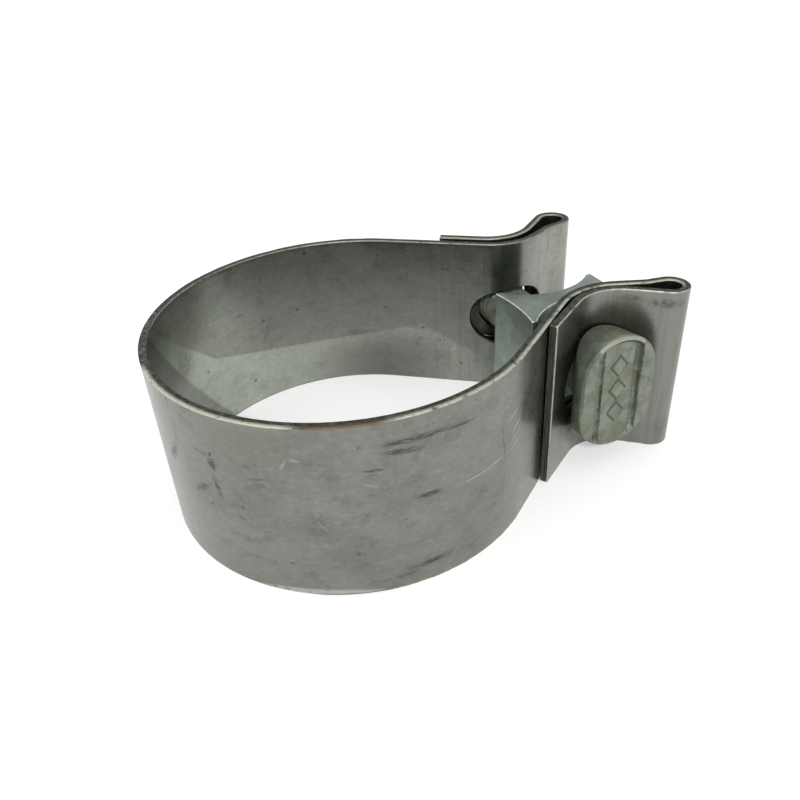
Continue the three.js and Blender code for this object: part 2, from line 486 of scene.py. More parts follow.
def strip_stations(strip):
    """Lengths at which the strip's section is drawn: close in the ears, exact at the slots."""
    first, last = strip.s[0], strip.s[-1]
    leg = math.radians(127) * (RING_OUTER_RADIUS - STRIP_THICKNESS / 2)
    ring = np.arange(-leg, leg, 1.2)
    ears = np.concatenate([np.arange(first, -leg, 0.42), np.arange(leg, last, 0.42)])
    regular = np.concatenate([ring, ears, [first + 0.15, last - 0.15]])
    radius = SLOT_WIDTH / 2
    flat = SLOT_LENGTH / 2 - radius
    quarter = radius * np.sin(np.linspace(0, math.pi / 2, 15))
    reach = np.unique(np.concatenate([np.linspace(0, flat, 5), flat + quarter]))
    x_values = np.unique(np.concatenate([SLOT_X - reach, SLOT_X + reach]))
    exact = []
    for tip, end in ((strip.far_tip, last), (-strip.near_tip, first)):
        for start, stop in ((0, tip), (tip, end)):
            found = np.sort(strip.lengths_at(x_values, start, stop))
            exact.append(found)
            regular = regular[(regular < found[0] - 0.2) | (regular > found[-1] + 0.2)]
    return np.unique(np.concatenate([regular, [first, last], *exact]))


def make_strip():
    strip = Strip()
    stations = strip_stations(strip)
    points, rims, places = [], [], []
    slots = []
    stations = [stations[0], *stations, stations[-1]]
    for index, s in enumerate(stations):
        x, y, normal_x, normal_y = strip.at(s)
        slot = slot_half_height(x) if abs(s) > strip.far_tip / 2 else 0.0
        slot = 0.0 if slot < 1e-3 else slot
        from_end = min(index, len(stations) - 1 - index)
        pinch = END_PINCH.get(from_end, 0.0)
        for side in (1, -1):
            worn = 0.05 + 0.05 * wobble((s, side * 40, 0), 2.5, 1)
            for offset, z, rim in half_section(slot, worn, pinch):
                points.append((RING_X + x + offset * normal_x, y + offset * normal_y,
                               MID_HEIGHT + side * z))
                if from_end < 2:
                    rim = (2, 0, 0) if from_end == 0 else (0, offset > 0, offset < 0)
                rims.append(rim)
                places.append((s, MID_HEIGHT + side * z, offset))
        slots.append(slot)
    count = len(half_section(0, 0, 0))
    faces = []
    for i in range(len(stations) - 1):
        open_here = slots[i] > 0 or slots[i + 1] > 0
        for side in range(2):
            here, there = (2 * i + side) * count, (2 * i + 2 + side) * count
            steps = count if open_here else count - 1
            for k in range(steps):
                m = (k + 1) % count
                faces.append((here + k, here + m, there + m, there + k))
    for i in (0, len(stations) - 1):
        upper = list(range(2 * i * count, (2 * i + 1) * count))
        lower = list(range((2 * i + 1) * count, (2 * i + 2) * count))
        faces.append(upper + lower[-2:0:-1])
    inside = [all(places[k][2] < 0 and rims[k] == (0, 0, 0) for k in face) for face in faces]
    return build_strip_mesh(points, faces, rims, places, inside)


def build_strip_mesh(points, faces, rims, places, inside):
    """The strip's mesh, with where each point is along, across and through it as attributes."""
    data = bpy.data.meshes.new("band_strip")
    data.from_pydata((np.array(points) * MM).tolist(), [], faces)
    for name, values in (("strip_place", places), ("strip_rim", rims)):
        layer = data.attributes.new(name, "FLOAT_VECTOR", "POINT")
        layer.data.foreach_set("vector", np.array(values, np.float32).ravel())
    data.materials.append(outside_material())
    data.materials.append(inside_material())
    data.polygons.foreach_set("material_index", np.array(inside, np.int32))
    work = bmesh.new()
    work.from_mesh(data)
    bmesh.ops.remove_doubles(work, verts=work.verts, dist=1e-7)
    bmesh.ops.recalc_face_normals(work, faces=work.faces)
    crease(work, 50.0)
    work.to_mesh(data)
    work.free()
    piece = bpy.data.objects.new("band_strip", data)
    bpy.context.scene.collection.objects.link(piece)
    return piece


FLEX_LENGTH = 34.0


def flex_strip(piece):
    """Works out, for each point of the strip, a weight that eases from the far half's body to the near
    half's over its back, which is not applied, and hides the two CAD halves.
    """
    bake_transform(piece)
    count = len(piece.data.vertices)
    place = np.empty(count * 3, np.float32)
    piece.data.attributes["strip_place"].data.foreach_get("vector", place)
    part = np.clip((FLEX_LENGTH - place[::3]) / (2 * FLEX_LENGTH), 0, 1)
    weight = part * part * (3 - 2 * part)
    weight.astype(np.float32)
    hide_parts("band_far_half", "band_near_half")


# Marks on the strip: length along it from the back, height, half-sizes, slant and strength.
# SMUDGES are dark, SCRAPES dark and drawn out, and SCRATCHES bright.
OUTSIDE_SMUDGES = [
    Mark(-19.2, 23.0, 1.9, 1.1, 75, 0.9),
    Mark(-19.3, 24.6, 0.9, 0.4, 80, 0.9),
    Mark(-17.3, 24.3, 2.2, 0.5, 10, 0.5),
    Mark(-19.3, 18.5, 2.9, 1.0, 80, 0.7),
    Mark(-15.8, 16.9, 4.2, 1.0, -35, 0.6),
    Mark(-9.2, 20.5, 4.4, 1.2, -55, 0.6),
    Mark(-11.3, 24.5, 1.0, 0.6, 60, 0.45),
    Mark(-17.1, 14.4, 1.1, 0.5, -30, 0.55),
    Mark(-23.8, 16.0, 0.9, 0.45, 5, 0.95),
    Mark(-23.4, 13.4, 2.4, 0.5, 35, 0.4),
    Mark(-18.0, 9.2, 1.1, 0.5, -30, 0.4),
    Mark(-41.8, 28.2, 0.5, 0.4, 0, 0.8),
    Mark(-40.2, 8.6, 1.4, 0.6, 15, 0.45),
    Mark(-35.2, 15.2, 3.2, 3.6, 0, 0.22),
    Mark(-30.0, 6.5, 0.6, 0.4, 0, 0.5),
    Mark(-78.0, 17.2, 0.6, 0.6, 0, 0.6),
    Mark(-75.0, 22.0, 0.5, 0.5, 0, 0.6),
]
OUTSIDE_SCRAPES = [
    Mark(-49.5, 28.0, 7.5, 0.75, 0, 0.85),
    Mark(-56.5, 27.6, 3.8, 0.4, 2, 0.7),
    Mark(-47.7, 26.4, 4.0, 0.75, 4, 0.9),
    Mark(-43.4, 24.0, 2.2, 0.4, 4, 0.95),
    Mark(-51.2, 17.4, 3.0, 0.8, 3, 0.75),
    Mark(-26.6, 22.2, 1.9, 0.22, -12, 0.6),
    Mark(-51.5, 3.9, 5.2, 0.8, -5, 0.75),
    Mark(-46.0, 2.4, 4.2, 0.6, -4, 0.6),
    Mark(-11.5, 30.5, 1.6, 0.22, 75, 0.8),
    Mark(-65.7, 19.5, 5.2, 0.17, 82, 0.7),
    Mark(-65.9, 11.5, 4.8, 0.15, 98, 0.55),
    Mark(-77.8, 26.0, 4.5, 0.4, 86, 0.4),
]
OUTSIDE_SCRATCHES = [
    Mark(-60.0, 16.7, 6.5, 0.22, 1, 0.55),
    Mark(-63.8, 16.9, 2.6, 0.2, -4, 0.6),
    Mark(-69.3, 23.4, 3.8, 0.24, -22, 0.8),
    Mark(-69.8, 20.7, 2.8, 0.26, -24, 0.8),
    Mark(-69.3, 18.8, 2.8, 0.22, -24, 0.7),
    Mark(-69.0, 17.1, 2.6, 0.22, -20, 0.65),
    Mark(-71.0, 22.3, 2.0, 0.2, -28, 0.7),
    Mark(-68.0, 15.3, 1.8, 0.18, -26, 0.5),
    Mark(-65.8, 25.6, 2.8, 0.13, -16, 0.4),
    Mark(-70.6, 25.0, 2.4, 0.14, -22, 0.5),
    Mark(-31.2, 25.6, 1.6, 0.3, -58, 0.35),
    Mark(-33.0, 26.4, 1.1, 0.3, 10, 0.3),
    Mark(-43.0, 21.3, 2.2, 0.3, 20, 0.3),
    Mark(-35.5, 14.4, 2.0, 0.2, 50, 0.3),
]
INSIDE_SMUDGES = [
    Mark(54.3, 30.4, 0.7, 0.6, 0, 0.9),
    Mark(43.2, 18.0, 0.7, 0.6, 0, 0.8),
    Mark(51.2, 18.4, 0.6, 0.5, 0, 0.6),
    Mark(38.0, 21.2, 1.6, 0.5, 5, 0.4),
    Mark(27.3, 13.7, 0.6, 0.5, 0, 0.8),
    Mark(39.1, 5.4, 0.6, 0.5, 0, 0.8),
    Mark(69.5, 29.0, 0.6, 0.4, 0, 0.7),
    Mark(70.5, 17.0, 0.6, 0.4, 0, 0.7),
    Mark(78.5, 12.7, 0.7, 0.4, 10, 0.95),
    Mark(82.0, 10.0, 0.5, 0.4, 0, 0.7),
    Mark(86.6, 4.6, 0.5, 0.4, 0, 0.7),
    Mark(83.5, 26.5, 1.6, 0.4, 0, 0.5),
    Mark(70.0, 27.0, 2.4, 1.4, 0, 0.3),
    Mark(20.5, 19.0, 4.0, 5.0, 0, 0.35),
    Mark(-121.5, 29.8, 4.0, 1.3, 0, 0.55),
    Mark(-127.0, 30.4, 3.4, 0.7, 0, 0.45),
    Mark(-130.0, 24.5, 3.0, 0.8, -10, 0.35),
    Mark(-118.5, 4.0, 3.0, 3.0, 0, 0.25),
]
INSIDE_SCRAPES = [
    Mark(-123.0, 12.0, 5.5, 0.3, 89, 0.5),
    Mark(-136.0, 27.0, 3.0, 0.25, 12, 0.5),
    Mark(91.4, 27.5, 3.6, 0.2, 86, 0.6),
    Mark(103.5, 17.0, 12.0, 0.5, 88, 0.3),
]
INSIDE_SCRATCHES = [
    Mark(81.0, 11.0, 1.4, 0.5, 60, 0.35),
    Mark(85.0, 8.0, 1.2, 0.5, 60, 0.3),
]
ROLLED_GREY = (0.168, 0.180, 0.156, 1)
ROLLED_LIGHT = (0.212, 0.222, 0.198, 1)
# Dark dirt for the scuffs and pits, also used for the painted shade on the strip's inside.
GRIME_AND_SHADE = (0.032, 0.036, 0.030, 1)
BRIGHT_STEEL = (0.50, 0.52, 0.48, 1)
# Bright lip colour: partly polish, partly painted highlight.
LIP_POLISH_AND_HIGHLIGHT = (0.66, 0.69, 0.56, 1)
RUST_TINT = (0.20, 0.135, 0.075, 1)
OLIVE_TINT = (0.185, 0.188, 0.135, 1)
CUT_DARK = (0.045, 0.049, 0.040, 1)
CUT_LIGHT = (0.125, 0.132, 0.110, 1)
END_BROWN = (0.130, 0.126, 0.098, 1)
EAR_TINT = (0.222, 0.220, 0.202, 1)


Grain = namedtuple("Grain", "cloud fine lines")


def rolled_tone(tree, place, s):
    """The clean strip: soft mottling, faint rolling lines and darker bends."""
    cloud = tree.noise(tree.place(place, (0.07, 0.10, 0.3)), 1.0, 5.0, 0.6, 0.5)
    mottle = tree.noise(tree.place(place, (0.28, 0.34, 0.5)), 1.0, 4.0, 0.65)
    fine = tree.noise(tree.place(place, (0.9, 1.3, 0.8)), 1.0, 4.0, 0.75)
    lines = tree.noise(tree.place(place, (0.04, 2.6, 0.2)), 1.0, 3.0, 0.65)
    tone = tree.blend(tree.step(cloud, 0.32, 0.68), ROLLED_GREY, ROLLED_LIGHT)
    tone = tree.blend(tree.product(tree.step(mottle, 0.50, 0.68), 0.55), tone, ROLLED_LIGHT)
    tone = tree.blend(tree.product(tree.step(mottle, 0.46, 0.30), 0.22), tone, CUT_DARK)
    tone = tree.blend(tree.product(tree.step(fine, 0.50, 0.72), 0.14), tone, BRIGHT_STEEL)
    tone = tree.blend(tree.product(tree.step(fine, 0.44, 0.26), 0.30), tone, CUT_DARK)
    tone = tree.blend(tree.product(tree.step(lines, 0.48, 0.70), 0.045), tone, BRIGHT_STEEL)
    ears = tree.step(tree.math("ABSOLUTE", s), 110.0, 116.0)
    across = tree.noise(tree.place(place, (0.9, 0.04, 0.2)), 1.0, 3.0, 0.6)
    bent = tree.step(tree.math("ABSOLUTE", s), 72.0, 86.0)
    tone = tree.blend(tree.product(ears, 0.8), tone, EAR_TINT)
    tone = tree.blend(tree.product(bent, tree.step(across, 0.50, 0.36), 0.16), tone, CUT_DARK)
    return tone, Grain(cloud, fine, lines)


def painted_inside_reflection(tree, tone, s, z):
    """Inside, painted reflection and shade set by place: the steel from the back round the far half
    lifted brighter, a paler straight-edged zone low down, and darker steel above and round it.
    """
    from_middle = tree.math("SUBTRACT", s, 56.0)
    bow = tree.product(from_middle, from_middle, 0.0077)
    middle = tree.math("ADD", bow, 9.95)
    limit = tree.math("MAXIMUM", tree.slope(s, 22.7, 21.5, -0.855), middle)
    limit = tree.math("MINIMUM", limit, tree.slope(s, 78.3, 13.7, -0.554))
    below = tree.step(tree.math("SUBTRACT", limit, z), -0.25, 0.25)
    inside = tree.step(tree.math("SUBTRACT", s, tree.slope(z, 17.1, 19.6, -0.758)), -0.5, 0.5)
    far = tree.step(s, -60.0, -40.0)
    gain = tree.blend(tree.step(s, 55.0, 35.0), (1.48, 1.48, 1.46, 1), (1.80, 1.80, 1.78, 1))
    tone = tree.blend(far, tone, tree.blend(1.0, tone, gain, "MULTIPLY"))
    # Painted shade: darker steel above and round the pale zone, and low down on the right.
    upper_shade = tree.product(tree.window(s, 46.0, 94.0, 20.0), 0.34)
    low_right = tree.product(tree.step(s, 36.0, 70.0), tree.step(s, 100.0, 68.0),
                             tree.step(z, 19.0, 5.0), 0.72)
    low = tree.product(tree.step(z, 27.0, 10.0), 0.33)
    shade = tree.product(below, tree.math("SUBTRACT", 1.0, inside), 0.45)
    upper_shade = tree.math("MAXIMUM", upper_shade, low)
    darker = tree.math("MAXIMUM", tree.math("MAXIMUM", upper_shade, low_right), shade)
    tone = tree.blend(tree.product(darker, far), tone, GRIME_AND_SHADE)
    # Painted reflection: the straight-edged zone low down is made paler.
    gain = tree.window(s, 34.0, 60.0, 20.0)
    reflection_lift = tree.blend(gain, (1.22, 1.22, 1.22, 1), (1.52, 1.52, 1.52, 1))
    zone = tree.product(below, inside, far)
    return tree.blend(zone, tone, tree.blend(1.0, tone, reflection_lift, "MULTIPLY"))


def strip_edges(tree, base, place, s):
    """The sheared edge: dark grit, a bright lip that is partly polish and partly a painted highlight on
    the lips facing the viewer, and some rust.
    """
    rim = tree.add("ShaderNodeSeparateXYZ")
    edge = tree.add("ShaderNodeAttribute", attribute_name="strip_rim").outputs["Vector"]
    tree.put(rim.inputs[0], edge)
    grit = tree.noise(tree.place(place, (1.1, 0.7, 2.2)), 1.0, 4.0, 0.7)
    chips = tree.noise(tree.place(place, (2.2, 2.0, 2.0), shift=(40, 0, 0)), 1.0, 3.0, 0.6)
    shear = tree.blend(tree.step(grit, 0.38, 0.68), CUT_DARK, CUT_LIGHT)
    ends = tree.step(rim.outputs[0], 1.2, 1.8)
    streaks = tree.noise(tree.place(place, (1.0, 0.12, 5.0)), 1.0, 3.0, 0.7)
    sawn = tree.blend(tree.step(streaks, 0.36, 0.62), CUT_DARK, END_BROWN)
    shear = tree.blend(ends, shear, sawn)
    back = tree.window(s, -4.0, 16.0, 5.0)
    shear = tree.blend(tree.product(back, tree.step(chips, 0.56, 0.68), 0.8), shear, BRIGHT_STEEL)
    base = tree.blend(rim.outputs[0], base, shear)
    worn = tree.noise(tree.place(place, (0.45, 0.45, 0.45)), 1.0, 4.0, 0.7)
    # Bright lips, partly polish and partly painted highlight: outer lips on the near half and far
    # doubler, inner lips on the far half and near doubler.
    cream = tree.product(tree.window(s, -31.0, -4.0, 4.0), 0.95)
    near_outer_lip_shine = tree.product(tree.window(s, -114.0, -49.0, 5.0), tree.step(worn, 0.30, 0.52), 0.85)
    outer = tree.math("MAXIMUM", cream, near_outer_lip_shine)
    outer = tree.math("MAXIMUM", outer, tree.product(tree.step(s, 114.0, 118.0), 0.6))
    outer = tree.product(rim.outputs[1], outer, tree.step(grit, 0.24, 0.44))
    inner = tree.math("MAXIMUM", tree.product(tree.window(s, 16.0, 112.0, 8.0), 0.45),
                      tree.product(tree.step(s, -116.0, -119.0), 0.8))
    inner = tree.product(rim.outputs[2], inner, tree.step(worn, 0.28, 0.55))
    rust = tree.product(rim.outputs[1], tree.window(s, -44.5, -36.0, 3.0), 0.8)
    base = tree.blend(rust, base, RUST_TINT)
    return tree.blend(tree.math("MAXIMUM", outer, inner), base, LIP_POLISH_AND_HIGHLIGHT), rim.outputs[0]


def scuffed(tree, place, base, smudges, scrapes, scratches):
    """Dark broken smudges and scrapes, bright scratches and a few pits over the clean strip."""
    broken = tree.step(tree.noise(tree.place(place, (1.6, 1.6, 1.0)), 1.0, 4.0, 0.7), 0.36, 0.56)
    drawn = tree.step(tree.noise(tree.place(place, (0.7, 5.0, 1.0)), 1.0, 3.0, 0.6), 0.34, 0.56)
    smudge = tree.product(tree.spots(place, smudges), broken)
    scrape = tree.product(tree.spots(place, scrapes), drawn)
    dark = tree.math("MAXIMUM", smudge, scrape)
    bright = tree.product(tree.spots(place, scratches), drawn)
    pits = tree.product(tree.specks(place, 0.42, 0.10, 0.16), 0.5)
    base = tree.blend(tree.math("MAXIMUM", dark, pits), base, GRIME_AND_SHADE)
    return tree.blend(bright, base, BRIGHT_STEEL), dark


def finish_strip(tree, base, grain, dirt):
    """Roughness grows with dirt, and the fine grain catches the light."""
    tree.shader("Base Color", base)
    tree.shader("Metallic", 1.0)
    rough = tree.math("ADD", 0.24, tree.product(tree.step(grain.cloud, 0.25, 0.75), 0.10))
    tree.shader("Roughness", tree.math("ADD", rough, tree.product(dirt, 0.25)))
    height = tree.math("ADD", grain.fine, tree.product(grain.lines, 0.15))
    tree.shader("Normal", tree.bump(height, 0.02, 0.5))
    return tree.material


def strip_start(name):
    """A new tree, the place on the strip, and its length and height parts."""
    tree = Tree(name)
    place = tree.add("ShaderNodeAttribute", attribute_name="strip_place").outputs["Vector"]
    parts = tree.add("ShaderNodeSeparateXYZ")
    tree.put(parts.inputs[0], place)
    return tree, place, parts.outputs[0], parts.outputs[1]


def outside_material():
    """Dull rolled spring steel, smudged and scratched by handling, with its sheared edges."""
    tree, place, s, _ = strip_start("strip_outside")
    base, grain = rolled_tone(tree, place, s)
    olive = tree.spot(place, Mark(-26.0, 28.6, 9.0, 3.4, 0, 0.45))
    base = tree.blend(olive, base, OLIVE_TINT)
    base, dark = scuffed(tree, place, base, OUTSIDE_SMUDGES, OUTSIDE_SCRAPES, OUTSIDE_SCRATCHES)
    pale = tree.spot(place, Mark(-34.0, 0.0, 15.0, 1.9, 0, 0.55))
    pale = tree.product(tree.step(pale, 0.1, 0.3), tree.step(grain.fine, 0.32, 0.48))
    base = tree.blend(pale, base, tree.blend(0.6, base, BRIGHT_STEEL))
    base, cut = strip_edges(tree, base, place, s)
    return finish_strip(tree, base, grain, tree.math("MAXIMUM", dark, cut))


def inside_material():
    """The strip's inner face, which is also what shows on the folded ends."""
    tree, place, s, z = strip_start("strip_inside")
    base, grain = rolled_tone(tree, place, s)
    # Painted reflection and shade on the inside, set by place on the strip.
    base = painted_inside_reflection(tree, base, s, z)
    base, dark = scuffed(tree, place, base, INSIDE_SMUDGES, INSIDE_SCRAPES, INSIDE_SCRATCHES)
    return finish_strip(tree, base, grain, dark)


# ---------------------------------------------------------------- parts on the bolt's axis

PITCH = 1.5
SHANK_RADIUS = 4.9
ROOT_RADIUS = 4.05
THREAD_START_Y = -9.5
BORE_RADIUS = 5.4
EDGE_ROUND = 0.45
EDGE_STEPS = (0.45, 0.25, 0.12, 0.04, 0.0)


def stadium_reach(angle, half_width, half_height):
    """Distance from the middle of a round-ended bar's outline to its edge, at an angle from X."""
    run, rise = abs(math.cos(angle)), abs(math.sin(angle))
    centre = half_height - half_width
    if run > 0 and half_width / run * rise <= centre:
        return half_width / run
    return centre * rise + math.sqrt(half_width ** 2 - (centre * run) ** 2)


def rounding(inset):
    """How far a rounded edge falls below its face, at a distance in from the outline."""
    left = max(EDGE_ROUND - inset, 0)
    return EDGE_ROUND - math.sqrt(EDGE_ROUND ** 2 - left ** 2)


def face_rings(angles, reach, hole, count):
    """(radii by angle, inset) of rings from a hole or the middle out to a shape's edge."""
    outer = np.array([reach(a) for a in angles])
    rings = []
    for part in np.linspace(0, 1, count, endpoint=False):
        radii = hole + (outer - EDGE_STEPS[0] - hole) * part
        rings.append((radii, outer - radii))
    rings += [(outer - step, np.full(len(angles), step)) for step in EDGE_STEPS]
    return rings


def surface_ring(angles, radii, insets, height, sign):
    """A ring of points on a face whose y is height(x, z), with its outer edge rounded off."""
    ring = []
    for angle, radius, inset in zip(angles, radii, insets):
        x, z = radius * math.cos(angle), radius * math.sin(angle)
        y = height(x, z, inset) + sign * rounding(inset)
        ring.append((AXIS_X + x, y, MID_HEIGHT + z))
    return ring


def thread_radius(y, angle, crest, root):
    """A right-hand screw's radius at a height and an angle from X towards Z."""
    turn = (math.pi / 2 - angle) / (2 * math.pi)
    phase = (y / PITCH - turn) % 1
    ridge = 1 - 2 * abs(phase - 0.5)
    return root + (crest - root) * min(max((ridge - 0.2) / 0.62, 0), 1)


def band_step(value, low, high):
    part = min(max((value - low) / (high - low), 0), 1)
    return part * part * (3 - 2 * part)


HEAD_SEGMENTS = 168
HEAD_HALF_WIDTH = 7.5
HEAD_HALF_HEIGHT = (BOLT_HIGH[2] - BOLT_LOW[2]) / 2
GROOVE_X = 3.8
GROOVE_HALF = 0.65
GROOVE_DEPTH = 0.5
LIP_WIDTH = 1.0
LIP_DEPTH = 0.45
PIP_HEIGHTS = (5.2, 0.6, -4.0)
PIP_REACH = 2.1
PIP_WIDEN = 0.8
PIP_RISE = 0.3
TOP_TAPER = 1.25


def head_relief(x, z, inset):
    """Depth of the bolt head's face below its lip: panel, two grooves, three plain diamonds."""
    upper = band_step(z, -1.0, 3.0)
    panel = PIP_RISE + (LIP_DEPTH - PIP_RISE) * upper
    panel *= band_step(inset, LIP_WIDTH - 0.25, LIP_WIDTH + 0.1)
    panel *= band_step(GROOVE_X + 0.6 - abs(x), -0.1, 0.15)
    shake = 0.12 * wobble((x, 0, z), 1.2, 3)
    groove = band_step(GROOVE_HALF - abs(abs(x) - GROOVE_X + shake), 0.0, 0.3)
    groove *= GROOVE_DEPTH * band_step(inset, 0.6, 1.4)
    pips = 0.0
    for height in PIP_HEIGHTS:
        away = abs(x) / PIP_WIDEN + abs(z - height)
        pips = max(pips, band_step(PIP_REACH - away, 0.0, 0.5))
    return panel + groove - pips * PIP_RISE


def head_underside(x, seat_y, toward):
    return seat_y + toward * math.sqrt(max(SEAT_RADIUS ** 2 - x * x, 0))


def tapered(point, face_y):
    """The head's upper half slopes down behind its face."""
    x, y, z = point
    rise = max(z - MID_HEIGHT, 0) / HEAD_HALF_HEIGHT
    back = band_step(y - face_y, 0.2, SEAT_RADIUS)
    return x, y, z - TOP_TAPER * back * rise


def make_bolt():
    angles = np.linspace(0, 2 * math.pi, HEAD_SEGMENTS, endpoint=False)
    face_y = BOLT_LOW[1]

    def reach(angle):
        return stadium_reach(angle, HEAD_HALF_WIDTH, HEAD_HALF_HEIGHT)

    def front(x, z, inset):
        return face_y + head_relief(x, z, inset) + 0.035 * (1 + wobble((x, 5, z), 0.9, 2))

    def back(x, z, inset):
        return head_underside(x, face_y, 1)

    rings = []
    for radii, insets in face_rings(angles, reach, 0.15, 34):
        rings.append(surface_ring(angles, radii, insets, front, 1))
    under = face_rings(angles, reach, SHANK_RADIUS + 0.6, 12)
    for radii, insets in reversed(under):
        rings.append(surface_ring(angles, radii, insets, back, -1))
    rings = [[tapered(point, face_y) for point in ring] for ring in rings]
    neck_y = face_y + SEAT_RADIUS
    ys = [neck_y + step for step in (0.1, 0.5, 1.2, 2.5)]
    ys += list(np.arange(THREAD_START_Y, TAIL_Y - 0.05, PITCH / 7)) + [TAIL_Y]
    for y in ys:
        depth = band_step(y, THREAD_START_Y, THREAD_START_Y + 2.2)
        limit = SHANK_RADIUS - 0.95 * max(0.0, y - (TAIL_Y - 0.9))
        ring = []
        for angle in angles:
            cut = thread_radius(y, angle, SHANK_RADIUS, ROOT_RADIUS)
            radius = min(SHANK_RADIUS + (cut - SHANK_RADIUS) * depth, limit)
            ring.append((AXIS_X + radius * math.cos(angle), y,
                         MID_HEIGHT + radius * math.sin(angle)))
        rings.append(ring)
    start = (AXIS_X, front(0, 0, HEAD_HALF_WIDTH), MID_HEIGHT)
    bolt = loft("bolt", rings, start_pole=start, end_pole=(AXIS_X, TAIL_Y, MID_HEIGHT))
    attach(bolt, "bolt")
    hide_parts("half_round_bolt")
    return bolt


def make_saddle():
    angles = np.linspace(0, 2 * math.pi, 144, endpoint=False)

    def reach(angle):
        return stadium_reach(angle, HEAD_HALF_WIDTH, HEAD_HALF_HEIGHT)

    def front(x, z, inset):
        return FAR_SEAT_Y - 0.02 * (1 + wobble((x, 9, z), 1.1, 4))

    def back(x, z, inset):
        return head_underside(x, FAR_SEAT_Y, -1)

    outward = face_rings(angles, reach, BORE_RADIUS + 0.25, 8)
    rings = [surface_ring(angles, radii, insets, front, -1) for radii, insets in outward]
    rings += [surface_ring(angles, radii, insets, back, 1)
              for radii, insets in reversed(outward)]
    bore = [(AXIS_X + BORE_RADIUS * math.cos(a), MID_HEIGHT + BORE_RADIUS * math.sin(a))
            for a in angles]
    deep = [(x, head_underside(x - AXIS_X, FAR_SEAT_Y, -1) + 0.25, z) for x, z in bore]
    shallow = [(x, FAR_SEAT_Y - 0.25, z) for x, z in bore]
    rings += [deep, shallow]
    saddle = loft("saddle", rings, closed=True)
    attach(saddle, "saddle")
    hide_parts("half_round_saddle")
    return saddle


NUT_SEGMENTS = 144
NUT_FACE_RADIUS = 7.55
NUT_CHAMFER = math.tan(math.radians(30))


def hexagon_reach(angle, across_flats):
    """Distance from a hexagon's middle to its side, with flats facing up and down."""
    off = (math.degrees(angle) % 60) - 30
    return across_flats / 2 / math.cos(math.radians(off))


def make_nut():
    angles = np.linspace(0, 2 * math.pi, NUT_SEGMENTS, endpoint=False)
    across_flats = NUT_HIGH[2] - NUT_LOW[2]
    flats = np.array([hexagon_reach(a, across_flats) for a in angles])
    low, high = NUT_LOW[1], NUT_HIGH[1]

    def ring(radii, y):
        radii = np.broadcast_to(radii, len(angles))
        heights = np.broadcast_to(y, len(angles))
        return [(AXIS_X + r * math.cos(a), h, MID_HEIGHT + r * math.sin(a))
                for a, r, h in zip(angles, radii, heights)]

    def face(end, inward):
        """Rings from the countersink out to the flats, at one end of the nut."""
        rings = [ring(radius, end + inward * drop)
                 for radius, drop in ((4.95, 0.45), (5.35, 0.05), (5.45, 0.0), (6.5, 0.0),
                                      (NUT_FACE_RADIUS - 0.1, 0.0))]
        for part in (0.0, 0.35, 0.7, 1.0):
            radii = NUT_FACE_RADIUS + (flats - NUT_FACE_RADIUS) * part
            rings.append(ring(radii, end + inward * (0.03 + (radii - NUT_FACE_RADIUS) * NUT_CHAMFER)))
        return rings

    rings = face(low, 1) + face(high, -1)[::-1]
    for y in np.arange(high - 0.5, low + 0.5, -PITCH / 7):
        radii = np.array([max(thread_radius(y, a, SHANK_RADIUS, ROOT_RADIUS) + 0.12, 4.25)
                          for a in angles])
        rings.append(ring(radii, y))
    nut = loft("nut", rings, closed=True)
    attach(nut, "nut")
    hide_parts("hex_nut")
    return nut


# ---------------------------------------------------------------- reaction block

BLOCK_WAIST_HALF = 1.85
BLOCK_INNER_HALF = 6.5
BLOCK_OUTER_HALF = 5.1
BLOCK_HOLLOW_X = SEAT_X + 0.1
BLOCK_HOLLOW_RADIUS = 12.4
BLOCK_PIPE_RADIUS = 30.0
BLOCK_INNER_X = 31.6
BLOCK_EDGE = 0.25
BLOCK_CORNER = 0.3
BLOCK_EDGE_LEVELS = 5
BLOCK_SIDE_LEVELS = 28
BLOCK_SIDE_MARGIN = 0.6
BORE_CUTTER_LENGTH = 50.0


def soften(outline, radius):
    """Replaces each sharp corner of a closed outline by a short arc."""
    result = []
    count = len(outline)
    for i, point in enumerate(outline):
        before, after = outline[i - 1], outline[(i + 1) % count]
        a, b = before - point, after - point
        a_length, b_length = np.linalg.norm(a), np.linalg.norm(b)
        turn = math.pi - math.acos(np.clip(a @ b / (a_length * b_length), -1, 1))
        if turn < math.radians(20):
            result.append(point)
            continue
        cut = min(radius * math.tan(turn / 2), 0.45 * a_length, 0.45 * b_length)
        start, end = point + a / a_length * cut, point + b / b_length * cut
        for part in (0, 0.25, 0.5, 0.75, 1):
            low = start + (point - start) * part
            result.append(low + (point + (end - point) * part - low) * part)
    return result


